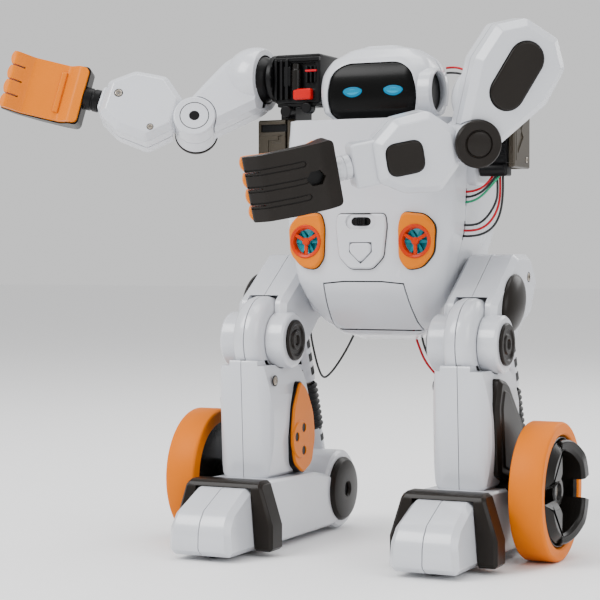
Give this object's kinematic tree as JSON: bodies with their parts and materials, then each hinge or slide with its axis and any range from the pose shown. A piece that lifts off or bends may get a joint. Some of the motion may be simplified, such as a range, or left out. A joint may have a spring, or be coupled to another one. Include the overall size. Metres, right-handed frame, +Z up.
{
  "type": "wheeled humanoid robot kit",
  "caption": "Two-legged robot kit with large wheels on its feet, jointed arms with cupped hands, a visored head and sprung leg struts.",
  "frame": {"origin": "point on the floor midway between the two wheel contact points", "axes": "+Z up, the robot faces -Y, its left side is +X"},
  "size_m": [0.355, 0.1951, 0.3068],
  "materials": {
    "white_shell": "gloss",
    "dark_trim": "satin",
    "black_plastic": "satin",
    "black_gloss": "gloss",
    "orange_trim": "gloss",
    "orange_tyre": "satin",
    "olive_bracket": "satin",
    "black_rubber": "matte",
    "wire_black": "satin",
    "wire_red": "satin",
    "wire_green": "satin",
    "red_switch": "gloss",
    "screw_steel": "satin",
    "eye_cyan": "emissive",
    "lamp_teal": "gloss"
  },
  "bodies": {
    "torso": {"torso_front_shell": "white_shell", "torso_rear_shell": "white_shell", "lamp_bezels": "orange_trim", "lamp_reflectors": "lamp_teal", "shoulder_wires": "wire_black", "leg_wires": "wire_black", "head_wires": "wire_red", "left_shoulder_bracket": "olive_bracket", "left_shoulder_gearbox": "black_plastic", "right_shoulder_bracket": "olive_bracket", "right_shoulder_gearbox": "black_plastic"},
    "head": {"head_shell": "white_shell", "visor": "black_gloss"},
    "mode_slider": {"mode_slider": "black_plastic"},
    "action_button": {"action_button": "white_shell"},
    "battery_door": {"battery_door": "white_shell"},
    "left_thigh": {"left_thigh_shell": "white_shell", "left_thigh_caps": "dark_trim"},
    "left_lower_leg": {"left_shin_shell": "white_shell", "left_shin_inner_panel": "orange_trim", "left_shin_outer_panel": "dark_trim", "left_strut_spring": "black_rubber", "left_strut_lower": "white_shell", "left_foot_body": "white_shell", "left_toe_cap": "white_shell", "left_toe_trim": "dark_trim", "left_heel_caps": "dark_trim", "left_foot_glides": "black_plastic"},
    "left_strut_upper": {"left_strut_upper": "white_shell"},
    "left_wheel": {"left_tyre": "orange_tyre", "left_wheel_hub": "black_gloss"},
    "left_shoulder_ball": {"left_shoulder_ball": "black_plastic"},
    "left_upper_arm": {"left_upper_arm_shell": "white_shell", "left_upper_arm_trim": "dark_trim"},
    "left_forearm": {"left_forearm_shell": "white_shell", "left_forearm_trim": "dark_trim"},
    "left_hand": {"left_hand_shell": "dark_trim", "left_palm": "orange_trim"},
    "right_thigh": {"right_thigh_shell": "white_shell", "right_thigh_caps": "dark_trim"},
    "right_lower_leg": {"right_shin_shell": "white_shell", "right_shin_inner_panel": "orange_trim", "right_shin_outer_panel": "dark_trim", "right_strut_spring": "black_rubber", "right_strut_lower": "white_shell", "right_foot_body": "white_shell", "right_toe_cap": "white_shell", "right_toe_trim": "dark_trim", "right_heel_caps": "dark_trim", "right_foot_glides": "black_plastic"},
    "right_strut_upper": {"right_strut_upper": "white_shell"},
    "right_wheel": {"right_tyre": "orange_tyre", "right_wheel_hub": "black_gloss"},
    "right_shoulder_ball": {"right_shoulder_ball": "black_plastic"},
    "right_upper_arm": {"right_upper_arm_shell": "white_shell", "right_upper_arm_trim": "dark_trim"},
    "right_forearm": {"right_forearm_shell": "white_shell", "right_forearm_trim": "dark_trim"},
    "right_hand": {"right_hand_shell": "dark_trim", "right_palm": "orange_trim"}
  },
  "joints": [
    {"name": "head_pan", "type": "hinge", "parent": "torso", "child": "head", "pos_m": [0, 0.02, 0.255], "axis": [0, 0, 1], "range_deg": [-8, 8], "deforming": ["head_wires"]},
    {"name": "mode_slide", "type": "slide", "parent": "torso", "child": "mode_slider", "axis": [1, 0, 0], "range_m": [-0.0025, 0.0025]},
    {"name": "button_press", "type": "slide", "parent": "torso", "child": "action_button", "axis": [0, 1, 0], "range_m": [0, 0.0012], "stiffness_N_per_m": 300},
    {"name": "battery_door_hinge", "type": "hinge", "parent": "torso", "child": "battery_door", "pos_m": [0, 0.0104, 0.129], "axis": [1, 0, 0], "range_deg": [0, 70]},
    {"name": "left_hip", "type": "hinge", "parent": "torso", "child": "left_thigh", "pos_m": [0.0675, 0.031, 0.1505], "axis": [1, 0, 0], "range_deg": [-12, 12], "deforming": ["leg_wires"]},
    {"name": "left_knee", "type": "hinge", "parent": "left_thigh", "child": "left_lower_leg", "pos_m": [0.0675, -0.0105, 0.1225], "axis": [1, 0, 0], "range_deg": [-8, 8], "deforming": ["left_strut_spring"]},
    {"name": "left_strut_pivot", "type": "hinge", "parent": "left_thigh", "child": "left_strut_upper", "pos_m": [0.0675, 0.038, 0.137], "axis": [1, 0, 0], "range_deg": [-8.5, 8.5]},
    {"name": "left_wheel_spin", "type": "hinge", "parent": "left_lower_leg", "child": "left_wheel", "pos_m": [0.1075, 0, 0.0395], "axis": [1, 0, 0], "continuous": true},
    {"name": "right_hip", "type": "hinge", "parent": "torso", "child": "right_thigh", "pos_m": [-0.0675, 0.031, 0.1505], "axis": [1, 0, 0], "range_deg": [-12, 12], "deforming": ["leg_wires"]},
    {"name": "right_knee", "type": "hinge", "parent": "right_thigh", "child": "right_lower_leg", "pos_m": [-0.0675, -0.0105, 0.1225], "axis": [1, 0, 0], "range_deg": [-8, 8], "deforming": ["right_strut_spring"]},
    {"name": "right_strut_pivot", "type": "hinge", "parent": "right_thigh", "child": "right_strut_upper", "pos_m": [-0.0675, 0.038, 0.137], "axis": [1, 0, 0], "range_deg": [-8.5, 8.5]},
    {"name": "right_wheel_spin", "type": "hinge", "parent": "right_lower_leg", "child": "right_wheel", "pos_m": [-0.1075, 0, 0.0395], "axis": [1, 0, 0], "continuous": true},
    {"name": "left_shoulder_pitch", "type": "hinge", "parent": "torso", "child": "left_shoulder_ball", "pos_m": [0.073, -0.003, 0.262], "axis": [0, 1, 0], "range_deg": [-8, 6]},
    {"name": "left_shoulder_swing", "type": "hinge", "parent": "left_shoulder_ball", "child": "left_upper_arm", "pos_m": [0.073, -0.003, 0.262], "axis": [0.883, 0, -0.4694], "range_deg": [-4, 4]},
    {"name": "left_elbow", "type": "hinge", "parent": "left_upper_arm", "child": "left_forearm", "pos_m": [0.069, -0.021, 0.2365], "axis": [0.6279, -0.7656, -0.14], "range_deg": [-15, 20]},
    {"name": "left_wrist", "type": "hinge", "parent": "left_forearm", "child": "left_hand", "pos_m": [0.012, -0.065, 0.2215], "axis": [-0.7506, -0.62, -0.2284], "range_deg": [-30, 30]},
    {"name": "right_shoulder_pitch", "type": "hinge", "parent": "torso", "child": "right_shoulder_ball", "pos_m": [-0.088, 0.025, 0.2815], "axis": [1, 0, 0], "range_deg": [-15, 15]},
    {"name": "right_shoulder_swing", "type": "hinge", "parent": "right_shoulder_ball", "child": "right_upper_arm", "pos_m": [-0.088, 0.025, 0.2815], "axis": [0, -0.7328, 0.6805], "range_deg": [-8, 8]},
    {"name": "right_elbow", "type": "hinge", "parent": "right_upper_arm", "child": "right_forearm", "pos_m": [-0.117, -0.001, 0.2535], "axis": [0.3991, -0.8403, 0.3669], "range_deg": [-17, 20]},
    {"name": "right_wrist", "type": "hinge", "parent": "right_forearm", "child": "right_hand", "pos_m": [-0.175, -0.022, 0.2685], "axis": [-0.9112, -0.3375, 0.2362], "range_deg": [-45, 45]}
  ],
  "couplings": [
    {"joint": "left_strut_pivot", "follows": "left_knee", "ratio": 1.041},
    {"joint": "right_strut_pivot", "follows": "right_knee", "ratio": 1.041}
  ]
}
